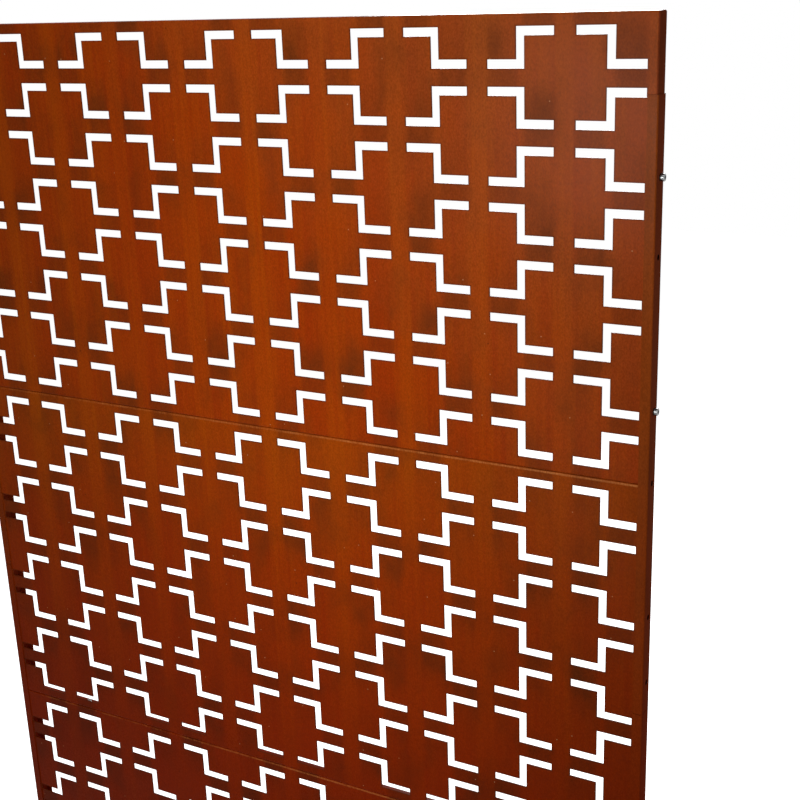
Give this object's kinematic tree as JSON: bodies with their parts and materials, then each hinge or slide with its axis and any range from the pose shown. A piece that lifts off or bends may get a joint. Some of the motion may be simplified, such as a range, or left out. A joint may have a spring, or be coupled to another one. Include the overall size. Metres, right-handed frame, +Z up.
{
  "type": "privacy screen",
  "caption": "Free-standing outdoor privacy screen: stacked folded steel trays with stepped slots, clamped in channel posts that bolt to plate feet",
  "frame": {"origin": "on the floor, midway between the two feet and midway through the panels' depth", "axes": "+Z up, +X along the screen to the right as seen from its front, front face towards -Y"},
  "size_m": [1.229, 0.4, 1.806],
  "materials": {
    "rusted_steel": "satin",
    "zinc_plated_steel": "satin"
  },
  "bodies": {
    "root": {"top_panel": "rusted_steel", "middle_panel": "rusted_steel", "bottom_panel": "rusted_steel", "upper_seam_bolts": "zinc_plated_steel", "upper_seam_nuts": "zinc_plated_steel", "lower_seam_bolts": "zinc_plated_steel", "lower_seam_nuts": "zinc_plated_steel", "right_upper_post": "rusted_steel", "right_upper_post_screws": "zinc_plated_steel", "right_upper_post_nuts": "zinc_plated_steel", "right_lower_post": "rusted_steel", "right_lower_post_screws": "zinc_plated_steel", "right_lower_post_nuts": "zinc_plated_steel", "right_foot": "rusted_steel", "right_foot_screws": "zinc_plated_steel", "right_foot_nuts": "zinc_plated_steel", "left_upper_post": "rusted_steel", "left_upper_post_screws": "zinc_plated_steel", "left_upper_post_nuts": "zinc_plated_steel", "left_lower_post": "rusted_steel", "left_lower_post_screws": "zinc_plated_steel", "left_lower_post_nuts": "zinc_plated_steel", "left_foot": "rusted_steel", "left_foot_screws": "zinc_plated_steel", "left_foot_nuts": "zinc_plated_steel"}
  },
  "joints": []
}
